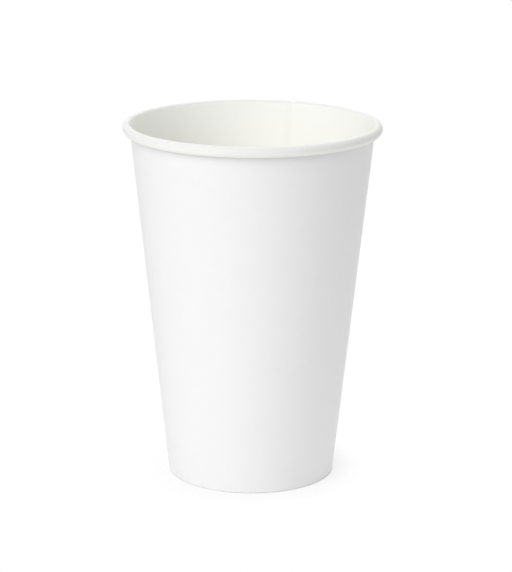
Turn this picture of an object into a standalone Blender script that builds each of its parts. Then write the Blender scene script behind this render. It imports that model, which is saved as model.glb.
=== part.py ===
"""Single-wall paper cup for hot drinks, in two pieces of paperboard coated on one side.

The sidewall is a fan-shaped blank wrapped once round and lapped on itself down one seam. Its top
edge is rolled outwards into the rim, and its bottom edge is folded in and up as a hem. The bottom
is a disc with a turned-down skirt, and the skirt sits between the sidewall and the hem.

Metres, +Z up, with the origin at the centre of the edge that the cup stands on.
"""

import math

import bmesh
import bpy
from mathutils import Matrix, Vector

# Overall sizes
HEIGHT = 0.1255
RIM_DIAMETER = 0.090
BASE_DIAMETER = 0.0585

# Board thicknesses
WALL_BOARD = 0.00035
BOTTOM_BOARD = 0.00030

# Rolled rim: the hollow left inside it where the lap runs through, across and down, the inner radii
# of the lap's bends out of the wall, at the belly, round the foot and up into the tail, how far the
# outside leans in below the belly, in degrees, the flats between the bends, how far the tail runs
# straight up inside the roll, and how near it comes to the wall
ROLL_HOLLOW_WIDTH = 0.00045
ROLL_HOLLOW_HEIGHT = 0.00215
ROLL_LIP_BEND = 0.00035
ROLL_BELLY_BEND = 0.0003
ROLL_FOOT_BEND = 0.00005
ROLL_TAIL_BEND = 0.0001
ROLL_LEAN_IN = 33.0
ROLL_FLAT = 0.00005
ROLL_TAIL = 0.0006
ROLL_CLEARANCE = 0.00005

# Lap seam down the back of the wall: the overlap, the clearance past each cut edge and the length
# in which one layer then climbs over the other, all along the arc under the rim, the sealed coating
# between the layers, and the direction of the inner layer's cut edge, in degrees from +X
LAP_WIDTH = 0.008
LAP_CLEARANCE = 0.0007
LAP_CLIMB = 0.003
LAP_SEAL = 0.00003
SEAM_DIRECTION = 69.0

# Hem round the bottom's skirt: its height, the inner radius of its two creases, and the gap that
# the seal leaves on each side of the skirt
HEM_HEIGHT = 0.0078
HEM_CREASE_RADIUS = 0.00015
SEAL_GAP = 0.0002

# Bottom: the inner radius of the bend into its skirt, how far above the hem's edge that bend
# starts, and how far above the hem's fold the skirt ends
FLOOR_BEND_RADIUS = 0.0006
FLOOR_ABOVE_HEM = 0.0005
SKIRT_ABOVE_FOLD = 0.0004

# Flat facets: around the cup, and in each rounded corner of a section
FACETS_AROUND = 60
ROLL_SHOULDER_FACETS = 6
ROLL_BELLY_FACETS = 3
ROLL_BEND_FACETS = 4
CREASE_FACETS = 3
FLOOR_EDGE_FACETS = 4
SHARP_EDGE_DEGREES = 35.0

BOARD_COLOUR = (0.90, 0.90, 0.89, 1.0)
COATED_COLOUR = (0.90, 0.90, 0.87, 1.0)
BOARD_ROUGHNESS = 0.75
COATED_ROUGHNESS = 0.45

# In the lap, the outer layer lies one board and one seal further out than the inner one.
LAP_LIFT = WALL_BOARD + LAP_SEAL
LAP_THICKNESS = LAP_LIFT + WALL_BOARD

# Across, the lap runs through the roll three times: in the wall, in the tail and down the outside.
ROLL_WIDTH = 3 * LAP_THICKNESS + ROLL_CLEARANCE + ROLL_HOLLOW_WIDTH
ROLL_HEIGHT = 2 * LAP_THICKNESS + ROLL_HOLLOW_HEIGHT

# The bottom's upper face, its rounded edge, and the end of its skirt, which clears the lapped fold
FLOOR_EDGE_RADIUS = FLOOR_BEND_RADIUS + BOTTOM_BOARD
FLOOR_HEIGHT = HEM_HEIGHT + FLOOR_ABOVE_HEM + FLOOR_EDGE_RADIUS
SKIRT_END_HEIGHT = LAP_THICKNESS + SKIRT_ABOVE_FOLD

# The sidewall's coated face is a straight line in section, from the base to the rim.
WALL_RADIUS_AT_BASE = BASE_DIAMETER / 2 - WALL_BOARD
WALL_RADIUS_AT_RIM = RIM_DIAMETER / 2 - ROLL_WIDTH
WALL_TAPER = (WALL_RADIUS_AT_RIM - WALL_RADIUS_AT_BASE) / HEIGHT

# Measured level, a layer on the leaning wall takes this much more than its thickness.
LEAN = math.hypot(1.0, WALL_TAPER)


def clear_scene():
    for old in list(bpy.data.objects):
        bpy.data.objects.remove(old)


def wall_radius(height):
    """Radius of the sidewall's coated face at a height."""
    return WALL_RADIUS_AT_BASE + WALL_TAPER * height


def rounded(corners):
    """Points along a path in section whose corners are arcs: each corner is (point, radius, facets)."""
    points = [corners[0][0]]
    for before, (corner, radius, facets), after in zip(corners, corners[1:], corners[2:]):
        back = (before[0] - corner).normalized()
        on = (after[0] - corner).normalized()
        half = back.angle(on) / 2
        centre = corner + (back + on).normalized() * radius / math.sin(half)
        spoke = corner + back * radius / math.tan(half) - centre
        turn = math.copysign(math.pi - 2 * half, back.x * on.y - back.y * on.x) / facets
        points += [centre + Matrix.Rotation(-turn * step, 2) @ spoke for step in range(facets + 1)]
    return points + [corners[-1][0]]


def sidewall_section(lift, rise):
    """The coated face in section, from the hem's edge, round the fold and up the wall, into the roll.

    lift moves the layer towards the printed side, where it lies over another layer, and rise
    lifts the fold, where another layer passes under it.
    """
    across = lift * LEAN
    fold_gap = (BOTTOM_BOARD + 2 * SEAL_GAP) * LEAN
    fold_height = WALL_BOARD + rise

    def wall(height):
        return Vector((wall_radius(height) + across, height))

    def hem(height):
        return Vector((wall_radius(height) - fold_gap - across, height))

    # The lapped wall and a clearance stand between the wall's coated face and the tail's.
    tail_gap = LAP_THICKNESS + ROLL_CLEARANCE + lift

    def tail(height):
        return Vector((wall_radius(height) + tail_gap * LEAN, height))

    # The bend out of the wall turns less than a quarter, and the one into the tail turns more. The
    # foot stands as near the wall as its bend and the tail's leave room for. From there the outside
    # leans out to the belly, and above it the roll is as round as its width and height allow.
    roll_top = HEIGHT - lift
    roll_side = RIM_DIAMETER / 2 - lift
    roll_foot = HEIGHT - ROLL_HEIGHT + lift
    lean_in = math.radians(ROLL_LEAN_IN)
    lip_radius = LAP_THICKNESS + ROLL_LIP_BEND - lift
    belly_radius = LAP_THICKNESS + ROLL_BELLY_BEND - lift
    foot_radius = LAP_THICKNESS + ROLL_FOOT_BEND - lift
    tail_radius = LAP_THICKNESS + ROLL_TAIL_BEND - lift
    lip_bend_length = lip_radius * (LEAN - WALL_TAPER)
    belly_bend_length = belly_radius * math.tan(lean_in / 2)
    foot_bend_length = foot_radius * math.tan((math.pi / 2 - lean_in) / 2)
    tail_bend_length = tail_radius * (LEAN + WALL_TAPER)
    foot_side = tail(roll_foot).x + tail_bend_length + ROLL_FLAT + foot_bend_length
    belly = roll_foot + (roll_side - foot_side) / math.tan(lean_in)
    shoulder_radius = min(
        roll_side - wall(roll_top).x - lip_bend_length - ROLL_FLAT,
        roll_top - belly - belly_bend_length - ROLL_FLAT,
    )
    crease_radius = HEM_CREASE_RADIUS + lift
    return rounded(
        [
            (hem(HEM_HEIGHT), 0.0, 0),
            (hem(fold_height), crease_radius, CREASE_FACETS),
            (wall(fold_height), crease_radius, CREASE_FACETS),
            (wall(roll_top), lip_radius, ROLL_BEND_FACETS),
            (Vector((roll_side, roll_top)), shoulder_radius, ROLL_SHOULDER_FACETS),
            (Vector((roll_side, belly)), belly_radius, ROLL_BELLY_FACETS),
            (Vector((foot_side, roll_foot)), foot_radius, ROLL_BEND_FACETS),
            (tail(roll_foot), tail_radius, ROLL_BEND_FACETS),
            (tail(roll_foot + tail_bend_length + ROLL_TAIL), 0.0, 0),
        ]
    )


def seam_stations():
    """(turn, lift, rise) at each section round the wrap, from the inner cut edge to the outer one.

    Away from the seam, the sections stand at equal angles that count from the X axis, so that the
    flat facets have a corner on each axis and the diameters there are true.
    """
    whole = math.tau
    facet = whole / FACETS_AROUND
    first = math.radians(SEAM_DIRECTION) % facet
    around = [first + facet * step for step in range(FACETS_AROUND)]
    lap = LAP_WIDTH / wall_radius(HEIGHT)
    clear = LAP_CLEARANCE / wall_radius(HEIGHT)
    climb = LAP_CLIMB / wall_radius(HEIGHT)
    in_lap = [turn for turn in around if 0.0 < turn < lap]
    plain = [turn for turn in around if lap + clear + climb < turn < whole - clear - climb]
    return (
        [(turn, 0.0, LAP_LIFT) for turn in [0.0, *in_lap, lap + clear]]
        + [(lap + clear + climb, 0.0, 0.0)]
        + [(turn, 0.0, 0.0) for turn in plain]
        + [(whole - clear - climb, 0.0, 0.0)]
        + [(whole + turn, LAP_LIFT, 0.0) for turn in [-clear, 0.0, *in_lap, lap]]
    )


def paperboard(name, colour, roughness):
    material = bpy.data.materials.new(name)
    material.use_nodes = True
    shader = material.node_tree.nodes["Principled BSDF"]
    shader.inputs["Base Color"].default_value = colour
    shader.inputs["Roughness"].default_value = roughness
    shader.inputs["Metallic"].default_value = 0.0
    return material


def add_piece(name, skin, thickness, material):
    """An object of board: the coated face, thickened towards the side that its normals point to."""
    mesh = bpy.data.meshes.new(name)
    skin.to_mesh(mesh)
    skin.free()
    mesh.shade_smooth()
    mesh.set_sharp_from_angle(angle=math.radians(SHARP_EDGE_DEGREES))
    mesh.materials.append(material)
    piece = bpy.data.objects.new(name, mesh)
    bpy.context.scene.collection.objects.link(piece)
    board = piece.modifiers.new("Board", "SOLIDIFY")
    board.thickness = thickness
    board.offset = 1.0
    board.use_even_offset = True
    return piece


def add_sidewall():
    """The wrapped blank: sections at each station round the cup, joined by faces."""
    skin = bmesh.new()
    before = None
    for turn, lift, rise in seam_stations():
        direction = math.radians(SEAM_DIRECTION) - turn
        outwards = Vector((math.cos(direction), math.sin(direction), 0.0))
        section = [
            skin.verts.new(outwards * point.x + Vector((0.0, 0.0, point.y)))
            for point in sidewall_section(lift, rise)
        ]
        if before:
            for low_a, high_a, high_b, low_b in zip(before, before[1:], section[1:], section):
                skin.faces.new((low_a, high_a, high_b, low_b))
        before = section
    material = paperboard("sidewall_board", BOARD_COLOUR, BOARD_ROUGHNESS)
    return add_piece("sidewall", skin, WALL_BOARD, material)


def add_bottom_disc():
    """The disc, its rounded edge and its skirt: a flat round face, extruded ring by ring."""

    def skirt(height):
        return Vector((wall_radius(height) - SEAL_GAP * LEAN, height))

    section = rounded(
        [
            (Vector((0.0, FLOOR_HEIGHT)), 0.0, 0),
            (skirt(FLOOR_HEIGHT), FLOOR_EDGE_RADIUS, FLOOR_EDGE_FACETS),
            (skirt(SKIRT_END_HEIGHT), 0.0, 0),
        ]
    )
    flat_edge, *rings = section[1:]
    skin = bmesh.new()
    bmesh.ops.create_circle(
        skin,
        cap_ends=True,
        segments=FACETS_AROUND,
        radius=flat_edge.x,
        matrix=Matrix.Translation((0.0, 0.0, flat_edge.y)),
    )
    edge = list(skin.edges)
    radius = flat_edge.x
    for ring in rings:
        made = bmesh.ops.extrude_edge_only(skin, edges=edge)["geom"]
        points = [item for item in made if isinstance(item, bmesh.types.BMVert)]
        edge = [
            item
            for item in made
            if isinstance(item, bmesh.types.BMEdge) and all(end in points for end in item.verts)
        ]
        for point in points:
            point.co.xy *= ring.x / radius
            point.co.z = ring.y
        radius = ring.x
    bmesh.ops.recalc_face_normals(skin, faces=skin.faces)
    bmesh.ops.reverse_faces(skin, faces=skin.faces)
    material = paperboard("bottom_board", COATED_COLOUR, COATED_ROUGHNESS)
    return add_piece("bottom_disc", skin, BOTTOM_BOARD, material)


clear_scene()
add_sidewall()
add_bottom_disc()
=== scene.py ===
"""Looks of a plain white single-wall paper cup for hot drinks.

The cup is two pieces of board: the sidewall and the bottom. Each section below makes one of them at
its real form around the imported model, in metres, and gives its faces and cut edges their finish.
"""

import math

import bmesh
import bpy
from mathutils import Matrix, Vector


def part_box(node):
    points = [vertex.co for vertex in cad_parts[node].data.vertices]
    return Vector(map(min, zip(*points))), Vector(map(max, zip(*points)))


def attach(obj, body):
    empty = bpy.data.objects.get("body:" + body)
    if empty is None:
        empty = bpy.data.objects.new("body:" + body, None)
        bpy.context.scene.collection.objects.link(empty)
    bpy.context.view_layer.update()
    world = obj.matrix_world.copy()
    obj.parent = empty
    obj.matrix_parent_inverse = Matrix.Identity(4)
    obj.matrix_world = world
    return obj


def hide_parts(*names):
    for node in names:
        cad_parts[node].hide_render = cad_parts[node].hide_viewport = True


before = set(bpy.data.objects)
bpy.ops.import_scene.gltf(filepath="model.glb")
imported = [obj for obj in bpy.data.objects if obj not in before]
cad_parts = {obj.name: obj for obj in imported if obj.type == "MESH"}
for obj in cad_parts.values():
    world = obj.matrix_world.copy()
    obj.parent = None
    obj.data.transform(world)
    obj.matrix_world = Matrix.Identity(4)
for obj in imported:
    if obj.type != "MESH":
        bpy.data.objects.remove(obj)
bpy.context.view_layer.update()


# The sidewall is one fan-shaped blank of white cup board, with a thin film on the face that becomes
# the inside. It is wrapped once round and heat-sealed in a lap down the back. Its top edge is
# rolled outwards into the rim, and its bottom edge is folded in and up round the bottom's skirt.
BOX_CLEARANCE = 0.000001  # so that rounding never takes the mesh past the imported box
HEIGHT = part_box("sidewall")[1].z - BOX_CLEARANCE
RIM_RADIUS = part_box("sidewall")[1].x - BOX_CLEARANCE
BASE_RADIUS = 0.02925
WALL_BOARD = 0.00035
WALL_BANDS = 12

LAP_WIDTH = 0.008
LAP_CLIMB = 0.003
LAP_CLEARANCE = 0.0007
LAP_SEAL = 0.00003
LAP_LIFT = WALL_BOARD + LAP_SEAL
LAP_THICKNESS = LAP_LIFT + WALL_BOARD

ROLL_WIDTH = 0.00269
ROLL_HEIGHT = 0.00361
ROLL_LIP_BEND = 0.00035
ROLL_BELLY_BEND = 0.0003
ROLL_FOOT_BEND = 0.00005
ROLL_TAIL_BEND = 0.0001
ROLL_LEAN_IN = math.radians(33.0)
ROLL_FLAT = 0.00005
ROLL_TAIL = 0.0006
ROLL_CLEARANCE = 0.00005
LIP_FACETS = 10
SHOULDER_FACETS = 14
BELLY_FACETS = 6
ROLL_FOOT_FACETS = 8
TAIL_FACETS = 10

HEM_HEIGHT = 0.0078
HEM_CREASE_RADIUS = 0.00015
HEM_CREASE_FACETS = 6
BOTTOM_BOARD = 0.00030
SEAL_GAP = 0.0002

BASE_COATED_RADIUS = BASE_RADIUS - WALL_BOARD
TAPER = (RIM_RADIUS - ROLL_WIDTH - BASE_COATED_RADIUS) / HEIGHT
LEAN = math.hypot(1.0, TAPER)


def beside_wall(height, gap=0.0):
    """A point in section, a gap outside the coated face of the leaning wall."""
    return Vector((BASE_COATED_RADIUS + TAPER * height + gap * LEAN, 0.0, height))


def bent_line(sheet, corners, bends):
    """Draws a line through the corners and rounds each inner one; a bend is (radius, facets)."""
    points = [sheet.verts.new(corner) for corner in corners]
    for start, end in zip(points, points[1:]):
        sheet.edges.new((start, end))
    for point, before, after, (radius, facets) in zip(points[1:], corners, corners[2:], bends):
        half = (before - point.co).angle(after - point.co) / 2
        bmesh.ops.bevel(
            sheet,
            geom=[point],
            offset=radius / math.tan(half),
            segments=facets,
            profile=0.5,
            affect="VERTICES",
            material=-1,
        )


# In section the coated face runs from the hem's cut edge down to the fold, up the wall, over the
# lip and round to the tail inside the roll. The roll's bends leave room for both layers of the lap.
hem_gap = -(BOTTOM_BOARD + 2 * SEAL_GAP)
tail_gap = LAP_THICKNESS + ROLL_CLEARANCE
roll_foot = HEIGHT - ROLL_HEIGHT
lip_radius = LAP_THICKNESS + ROLL_LIP_BEND
belly_radius = LAP_THICKNESS + ROLL_BELLY_BEND
foot_radius = LAP_THICKNESS + ROLL_FOOT_BEND
tail_radius = LAP_THICKNESS + ROLL_TAIL_BEND
belly_bend_length = belly_radius * math.tan(ROLL_LEAN_IN / 2)
foot_bend_length = foot_radius * math.tan((math.pi / 2 - ROLL_LEAN_IN) / 2)
tail_bend_length = tail_radius * (LEAN + TAPER)
foot_side = beside_wall(roll_foot, tail_gap).x + tail_bend_length + ROLL_FLAT + foot_bend_length
belly = roll_foot + (RIM_RADIUS - foot_side) / math.tan(ROLL_LEAN_IN)
shoulder_radius = min(
    ROLL_WIDTH - lip_radius * (LEAN - TAPER) - ROLL_FLAT,
    HEIGHT - belly - belly_bend_length - ROLL_FLAT,
)
blank = bmesh.new()
bent_line(
    blank,
    [
        beside_wall(HEM_HEIGHT, hem_gap),
        beside_wall(WALL_BOARD, hem_gap),
        beside_wall(WALL_BOARD),
        beside_wall(HEIGHT),
        Vector((RIM_RADIUS, 0.0, HEIGHT)),
        Vector((RIM_RADIUS, 0.0, belly)),
        Vector((foot_side, 0.0, roll_foot)),
        beside_wall(roll_foot, tail_gap),
        beside_wall(roll_foot + tail_bend_length + ROLL_TAIL, tail_gap),
    ],
    [
        (HEM_CREASE_RADIUS, HEM_CREASE_FACETS),
        (HEM_CREASE_RADIUS, HEM_CREASE_FACETS),
        (lip_radius, LIP_FACETS),
        (shoulder_radius, SHOULDER_FACETS),
        (belly_radius, BELLY_FACETS),
        (foot_radius, ROLL_FOOT_FACETS),
        (tail_radius, TAIL_FACETS),
    ],
)
wall_line = max(blank.edges, key=bmesh.types.BMEdge.calc_length)
bmesh.ops.subdivide_edges(blank, edges=[wall_line], cuts=WALL_BANDS - 1)

# The wrap starts at the inner layer's cut edge, goes once round and ends one lap further on. Its
# steps are fine near the lap, where one layer climbs over the other.
SEAM_DIRECTION = math.radians(69.0)
FINE_STEP = math.radians(0.5)
PLAIN_STEP = math.radians(1.5)
under_rim = beside_wall(HEIGHT).x
lap = LAP_WIDTH / under_rim
climb = LAP_CLIMB / under_rim
clear = LAP_CLEARANCE / under_rim

to_seam = Matrix.Rotation(SEAM_DIRECTION, 3, "Z")
bmesh.ops.rotate(blank, verts=blank.verts, cent=(0, 0, 0), matrix=to_seam)
wrapped_edge = list(blank.verts) + list(blank.edges)
stretches = []
for turn, step in [
    (lap + clear + climb, FINE_STEP),
    (math.tau - lap - 2 * (clear + climb), PLAIN_STEP),
    (climb + clear + lap, FINE_STEP),
]:
    wrapped_edge = bmesh.ops.spin(
        blank,
        geom=wrapped_edge,
        cent=(0, 0, 0),
        axis=(0, 0, -1),
        angle=turn,
        steps=math.ceil(turn / step),
    )["geom_last"]
    stretches.append(set(blank.verts))
first_stretch = stretches[0]
last_stretch = stretches[2] - stretches[1]

# Every face points towards the printed side, which is the outside of the wall.
bmesh.ops.recalc_face_normals(blank, faces=blank.faces)
wall_face = min(blank.faces, key=lambda face: abs(face.calc_center_median().z - HEIGHT / 2))
if wall_face.normal.dot(wall_face.calc_center_median().xy.to_3d()) < 0.0:
    bmesh.ops.reverse_faces(blank, faces=blank.faces)


def past_seam(point):
    """How far round the wrap a point lies past the inner cut edge's direction."""
    angle = SEAM_DIRECTION - math.atan2(point.co.y, point.co.x)
    return (angle + math.pi) % math.tau - math.pi


def eased(share):
    """A share kept between 0 and 1, which starts and ends gently."""
    share = min(1.0, max(0.0, share))
    return share * share * (3.0 - 2.0 * share)


# Where the layers lap, the folds of both are lifted by one board and one seal. The outer layer then
# climbs by as much towards the printed side, which takes its own fold back under the inner one.
fold_top = WALL_BOARD + 2 * HEM_CREASE_RADIUS
inner_shares = {
    point: eased((lap + clear + climb - past_seam(point)) / climb) for point in first_stretch
}
outer_shares = {
    point: eased((past_seam(point) + clear + climb) / climb) for point in last_stretch
}
for point, share in (inner_shares | outer_shares).items():
    if point.co.z < fold_top:
        outwards = point.co.xy.normalized() * TAPER
        point.co += Vector((*outwards, 1.0)) * LAP_LIFT * share
blank.normal_update()
climbs = {
    point: point.normal * LAP_LIFT * share * point.calc_shell_factor()
    for point, share in outer_shares.items()
}
for point, move in climbs.items():
    point.co += move


class Signal:
    """A node's output. Arithmetic on it adds Math nodes."""

    def __init__(self, finish, socket):
        self.finish = finish
        self.socket = socket

    def math(self, operation, first, second):
        return self.finish.node("ShaderNodeMath", {"operation": operation}, {0: first, 1: second})

    def __add__(self, other):
        return self.math("ADD", self, other)

    def __sub__(self, other):
        return self.math("SUBTRACT", self, other)

    def __rsub__(self, other):
        return self.math("SUBTRACT", other, self)

    def __mul__(self, other):
        return self.math("MULTIPLY", self, other)

    __radd__ = __add__
    __rmul__ = __mul__


# A Mix node's colour sockets go by number, because its sockets of every type share their names.
MIX_COLOUR_A = 6
MIX_COLOUR_B = 7
MIX_COLOUR_OUT = 2


class Finish:
    """A material, or the world, made of nodes."""

    def __init__(self, owner):
        owner.use_nodes = True
        self.owner = owner
        self.tree = owner.node_tree

    def node(self, kind, settings=None, sockets=None, output=0):
        """Adds a node: its settings are set first, then the values or links of its sockets."""
        made = self.tree.nodes.new(kind)
        for setting, value in (settings or {}).items():
            setattr(made, setting, value)
        for socket, value in (sockets or {}).items():
            self.feed(made.inputs[socket], value)
        return Signal(self, made.outputs[output])

    def feed(self, socket, value):
        """Links a signal to a socket, or sets a plain value on it."""
        if isinstance(value, Signal):
            self.tree.links.new(value.socket, socket)
        else:
            socket.default_value = value

    def mixed(self, factor, first, second):
        """A colour between two, first where the factor is 0."""
        settings = {"data_type": "RGBA"}
        sockets = {"Factor": factor, MIX_COLOUR_A: first, MIX_COLOUR_B: second}
        return self.node("ShaderNodeMix", settings, sockets, MIX_COLOUR_OUT)

    def ramp(self, value, ends):
        """0 below the first end, 1 above the second, and eased between them."""
        settings = {"interpolation_type": "SMOOTHSTEP"}
        sockets = {"Value": value, "From Min": ends[0], "From Max": ends[1]}
        return self.node("ShaderNodeMapRange", settings, sockets)

    def length_of(self, vector):
        return self.node("ShaderNodeVectorMath", {"operation": "LENGTH"}, {0: vector}, "Value")

    def shader(self, sockets):
        """Sets the sockets of the material's own Principled shader."""
        for socket, value in sockets.items():
            self.feed(self.tree.nodes["Principled BSDF"].inputs[socket], value)


# The film is whiter where the rolling has stretched it. Over the crown, which faces up to the
# lamps, it is darkened with painted shade. Each depth is a pair, below the top of the rim, between
# which the change fades out.
ROLL_TONED = 0.6
ROLL_TONE = (0.94, 0.94, 0.93, 1.0)
# Painted shade: the share by which the crown is darkened towards black.
CROWN_PAINTED_SHADE = 0.12
CROWN_SHADE_COLOUR = (0.0, 0.0, 0.0, 1.0)
LIP_DEPTH = (0.0004, 0.0009)
CROWN_SHADE_DEPTH = (0.0016, 0.0026)
LEVEL_ONLY = (1.0, 1.0, 0.0)


def rolled_film(finish, place, colour):
    """The film's colour, changed over the roll and inside its lip, with painted shade on the crown.
    """
    height = finish.node("ShaderNodeSeparateXYZ", sockets={0: place}, output="Z")
    level_sockets = {0: place, 1: LEVEL_ONLY}
    level = finish.node("ShaderNodeVectorMath", {"operation": "MULTIPLY"}, level_sockets)
    from_wall = finish.length_of(level) - height * TAPER - BASE_COATED_RADIUS
    depth = HEIGHT - height
    off_roll = 1.0 - finish.ramp(from_wall, (LAP_THICKNESS, ROLL_WIDTH / 2))
    rolled = 1.0 - off_roll * finish.ramp(depth, LIP_DEPTH)
    # Painted shade over the crown of the roll, which faces up to the lamps.
    painted_crown_shade = rolled * (1.0 - finish.ramp(depth, CROWN_SHADE_DEPTH))
    stretched = finish.mixed(rolled * ROLL_TONED, colour, ROLL_TONE)
    return finish.mixed(painted_crown_shade * CROWN_PAINTED_SHADE, stretched, CROWN_SHADE_COLOUR)


CLOUDS = {"Scale": 300.0, "Detail": 3.0, "Roughness": 0.6}
FIBRES = {"Detail": 4.0, "Roughness": 0.65}
CLOUD_SHARE = 0.6
CLOUD_RELIEF = 0.5
ROUGHNESS_SPREAD = 0.16
FILM_ROUGHNESS = 0.3


def board_face(name, dark, light, roughness, gloss, fibre_scale, relief, film=0.0):
    """A face of cup board: cloudy from the pulp, with short fibres, and the film as a thin coat."""
    finish = Finish(bpy.data.materials.new(name))
    place = finish.node("ShaderNodeTexCoord", output="Object")
    clouds = finish.node("ShaderNodeTexNoise", sockets={"Vector": place, **CLOUDS})
    fibre_sockets = {"Vector": place, "Scale": fibre_scale, **FIBRES}
    fibres = finish.node("ShaderNodeTexNoise", sockets=fibre_sockets)
    pulp = clouds * CLOUD_SHARE + fibres * (1.0 - CLOUD_SHARE)
    colour = finish.mixed(pulp, dark, light)
    if film > 0.0:
        colour = rolled_film(finish, place, colour)
    bump_sockets = {"Strength": 1.0, "Distance": relief, "Height": clouds * CLOUD_RELIEF + fibres}
    finish.shader(
        {
            "Base Color": colour,
            "Roughness": fibres * ROUGHNESS_SPREAD + (roughness - ROUGHNESS_SPREAD / 2),
            "Normal": finish.node("ShaderNodeBump", sockets=bump_sockets),
            "Specular IOR Level": gloss,
            "Coat Weight": film,
            "Coat Roughness": FILM_ROUGHNESS,
        }
    )
    return finish.owner


printed_face = board_face(
    "plain_outside",
    dark=(0.845, 0.845, 0.845, 1.0),
    light=(0.885, 0.885, 0.885, 1.0),
    roughness=0.60,
    gloss=0.3,
    fibre_scale=2600.0,
    relief=0.00001,
)
coated_face = board_face(
    "coated_inside",
    dark=(0.93, 0.93, 0.893, 1.0),
    light=(0.96, 0.96, 0.923, 1.0),
    roughness=0.50,
    gloss=0.15,
    fibre_scale=1400.0,
    relief=0.000006,
    film=0.03,
)
cut_edge = board_face(
    "raw_cut_edge",
    dark=(0.74, 0.71, 0.64, 1.0),
    light=(0.88, 0.86, 0.80, 1.0),
    roughness=0.85,
    gloss=0.2,
    fibre_scale=5200.0,
    relief=0.00003,
)

CUT_EDGE_SOFTENED = 0.00005
CUT_EDGE_FACETS = 2
CUT_EDGE_ANGLE = math.radians(60.0)


def board_piece(name, sheet, thickness):
    """A piece of board: the coated face, thickened to the printed side, with softened cut edges."""
    mesh = bpy.data.meshes.new(name)
    sheet.to_mesh(mesh)
    sheet.free()
    mesh.shade_smooth()
    finishes = [printed_face, coated_face, cut_edge]
    for finish in finishes:
        mesh.materials.append(finish)
    piece = bpy.data.objects.new(name, mesh)
    bpy.context.scene.collection.objects.link(piece)
    board = piece.modifiers.new("Board", "SOLIDIFY")
    board.thickness = thickness
    board.offset = 1.0
    board.use_even_offset = True
    board.material_offset = finishes.index(coated_face)
    board.material_offset_rim = finishes.index(cut_edge)
    edges = piece.modifiers.new("Cut edges", "BEVEL")
    edges.width = CUT_EDGE_SOFTENED
    edges.segments = CUT_EDGE_FACETS
    edges.limit_method = "ANGLE"
    edges.angle_limit = CUT_EDGE_ANGLE
    edges.harden_normals = True
    return piece


cup_sidewall = board_piece("cup_sidewall", blank, WALL_BOARD)
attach(cup_sidewall, "root")
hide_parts("sidewall")


# The bottom is a round blank of the same kind of board, film side up. Its edge is drawn down into a
# skirt, which is heat-sealed between the wall and the hem, so the floor stands clear of the table.
FLOOR_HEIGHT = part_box("bottom_disc")[1].z
SKIRT_END_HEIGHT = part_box("bottom_disc")[0].z
FLOOR_BEND_RADIUS = 0.0006
FLOOR_BEND_FACETS = 10
DISC_STEPS = 240
SAME_POINT = 0.000001
disc = bmesh.new()
bent_line(
    disc,
    [
        Vector((0.0, 0.0, FLOOR_HEIGHT)),
        beside_wall(FLOOR_HEIGHT, -SEAL_GAP),
        beside_wall(SKIRT_END_HEIGHT, -SEAL_GAP),
    ],
    [(FLOOR_BEND_RADIUS + BOTTOM_BOARD, FLOOR_BEND_FACETS)],
)
bmesh.ops.spin(
    disc,
    geom=list(disc.verts) + list(disc.edges),
    cent=(0, 0, 0),
    axis=(0, 0, 1),
    angle=math.tau,
    steps=DISC_STEPS,
    use_merge=True,
)
bmesh.ops.remove_doubles(disc, verts=disc.verts, dist=SAME_POINT)

# Every face points towards the printed side, which is the floor's underside.
bmesh.ops.recalc_face_normals(disc, faces=disc.faces)
floor_face = max(disc.faces, key=lambda face: abs(face.normal.z))
if floor_face.normal.z > 0.0:
    bmesh.ops.reverse_faces(disc, faces=disc.faces)

cup_bottom = board_piece("cup_bottom", disc, BOTTOM_BOARD)
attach(cup_bottom, "root")
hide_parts("bottom_disc")


# The studio: a white board on a darker floor, both of which look white to the eye, and even light
# from all round. A large soft lamp stands at the front left, a weak one low on the right and one
# behind. Part of the real shadow shows, and fades out between two distances from the cup's middle.
FLOOR_SIZE = 8.0
BOARD_COLOUR = (0.91, 0.91, 0.91, 1.0)
FLOOR_COLOUR = (0.18, 0.18, 0.18, 1.0)
BOARD_EDGE = (0.5, 0.7)
SHADOW_SEEN = 0.3
SHADOW_FADES = (0.03, 0.042)
CONTACT_SEEN = 0.7
CONTACT_FADES = (0.0289, 0.0296)
WORLD_COLOUR = (1.0, 1.0, 1.0, 1.0)
WORLD_LEVEL = 0.49
table_mesh = bpy.data.meshes.new("table_top")
table_sheet = bmesh.new()
bmesh.ops.create_grid(table_sheet, x_segments=1, y_segments=1, size=FLOOR_SIZE / 2)
table_sheet.to_mesh(table_mesh)
table_sheet.free()
table_top = bpy.data.objects.new("table_top", table_mesh)
bpy.context.scene.collection.objects.link(table_top)


def seen_directly(finish):
    """1 for what the camera, gloss or a clear piece shows, and 0 for light that falls on things."""
    unseen = 1.0
    for ray in ("Is Camera Ray", "Is Glossy Ray", "Is Transmission Ray"):
        unseen = unseen * (1.0 - finish.node("ShaderNodeLightPath", output=ray))
    return 1.0 - unseen


table_white = Finish(bpy.data.materials.new("table_white"))
from_cup = table_white.length_of(table_white.node("ShaderNodeTexCoord", output="Object"))
past_board = table_white.ramp(from_cup, BOARD_EDGE)
table_white.shader(
    {
        "Base Color": table_white.mixed(past_board, BOARD_COLOUR, FLOOR_COLOUR),
        "Roughness": 1.0,
        "Specular IOR Level": 0.0,
    }
)
shadow_seen = (1.0 - table_white.ramp(from_cup, SHADOW_FADES)) * SHADOW_SEEN
contact_seen = (1.0 - table_white.ramp(from_cup, CONTACT_FADES)) * CONTACT_SEEN
table_shader = table_white.node(
    "ShaderNodeMixShader",
    sockets={
        "Fac": seen_directly(table_white) * (1.0 - shadow_seen - contact_seen),
        1: Signal(table_white, table_white.tree.nodes["Principled BSDF"].outputs["BSDF"]),
        2: table_white.node("ShaderNodeEmission"),
    },
)
table_white.feed(table_white.tree.nodes["Material Output"].inputs["Surface"], table_shader)
table_mesh.materials.append(table_white.owner)

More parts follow.
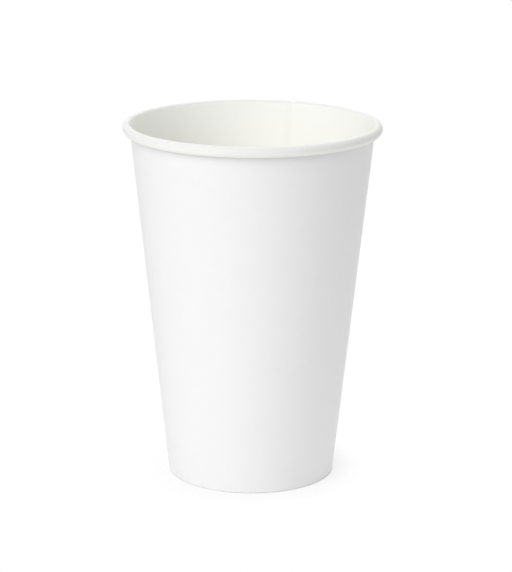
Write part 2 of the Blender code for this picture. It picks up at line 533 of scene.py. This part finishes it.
world = Finish(bpy.data.worlds.new("studio"))
bpy.context.scene.world = world.owner
background = world.tree.nodes["Background"]
world.feed(background.inputs["Color"], WORLD_COLOUR)
world_strength = seen_directly(world) * (1.0 - WORLD_LEVEL) + WORLD_LEVEL
world.feed(background.inputs["Strength"], world_strength)


def soft_lamp(name, azimuth, elevation, distance, size, power):
    """A square lamp that faces the cup's middle. Azimuth 0 is in front, and 90 on the right."""
    around = math.radians(azimuth)
    up = math.radians(elevation)
    out = math.cos(up)
    towards = Vector((math.sin(around) * out, -math.cos(around) * out, math.sin(up)))
    lamp = bpy.data.lights.new(name, "AREA")
    lamp.size = size
    lamp.energy = power
    holder = bpy.data.objects.new(name, lamp)
    holder.location = towards * distance + Vector((0.0, 0.0, HEIGHT / 2))
    holder.rotation_euler = towards.to_track_quat("Z", "Y").to_euler()
    bpy.context.scene.collection.objects.link(holder)


soft_lamp("key_lamp", azimuth=-32.0, elevation=36.0, distance=1.25, size=1.0, power=9.9)
soft_lamp("right_lamp", azimuth=110.0, elevation=12.0, distance=1.6, size=1.1, power=4.3)
soft_lamp("back_lamp", azimuth=180.0, elevation=45.0, distance=1.25, size=1.0, power=4.4)


# The camera stands where the photograph was taken from: in front, a little above, and turned a
# third of a degree, with the cup just left of the middle. Its place and lens come from a fit to the
# cup's outline in the photograph.
IMAGE_HEIGHT = 572
SENSOR = 36.0
FOCAL_PIXELS = 2304.6
CAMERA_DISTANCE = 0.8122
CAMERA_PITCH = math.radians(14.882)
CAMERA_ROLL = 0.0053
CAMERA_TARGET = Vector((0.0, 0.0, 0.066841))
CUP_LEFT_OF_MIDDLE = 4.281
NEAREST_SEEN = 0.01
lens = bpy.data.cameras.new("camera")
lens.sensor_width = SENSOR
lens.lens = FOCAL_PIXELS / IMAGE_HEIGHT * SENSOR
lens.shift_x = CUP_LEFT_OF_MIDDLE / IMAGE_HEIGHT
lens.clip_start = NEAREST_SEEN
camera = bpy.data.objects.new("camera", lens)
backwards = Vector((0.0, -math.cos(CAMERA_PITCH), math.sin(CAMERA_PITCH)))
aim = backwards.to_track_quat("Z", "Y").to_matrix() @ Matrix.Rotation(CAMERA_ROLL, 3, "Z")
camera_place = Matrix.Translation(CAMERA_TARGET + backwards * CAMERA_DISTANCE)
camera.matrix_world = camera_place @ aim.to_4x4()
bpy.context.scene.collection.objects.link(camera)
bpy.context.scene.camera = camera

bpy.context.scene.view_settings.view_transform = "Standard"
